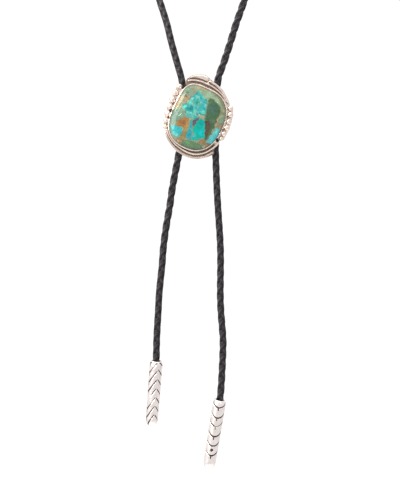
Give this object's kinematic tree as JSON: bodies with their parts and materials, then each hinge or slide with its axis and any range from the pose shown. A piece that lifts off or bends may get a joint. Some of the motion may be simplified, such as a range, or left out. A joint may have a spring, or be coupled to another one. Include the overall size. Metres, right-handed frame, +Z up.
{
  "type": "bolo tie",
  "caption": "Bolo tie: braided black leather cord through a tilted silver slide set with a domed composite turquoise stone, two stamped silver tips",
  "frame": {"origin": "the nape: the middle of the cord where the back of the neck loop rests", "axes": "+Z up as worn, -Y the front where the slide's stone faces, +X to the right of someone looking at the front"},
  "size_m": [0.1203, 0.1411, 0.4195],
  "materials": {
    "silver": "polished silver with oxidised recesses",
    "turquoise": "polished composite turquoise cabochon",
    "clip_metal": "satin plated metal",
    "braided_leather": "waxed four-strand round braid"
  },
  "bodies": {
    "root": {"slide_setting": "silver", "slide_stone": "turquoise", "cord_clip": "clip_metal", "neck_loop": "braided_leather", "cord_end_left": "braided_leather", "cord_end_right": "braided_leather", "tip_left": "silver", "tip_right": "silver"}
  },
  "joints": []
}
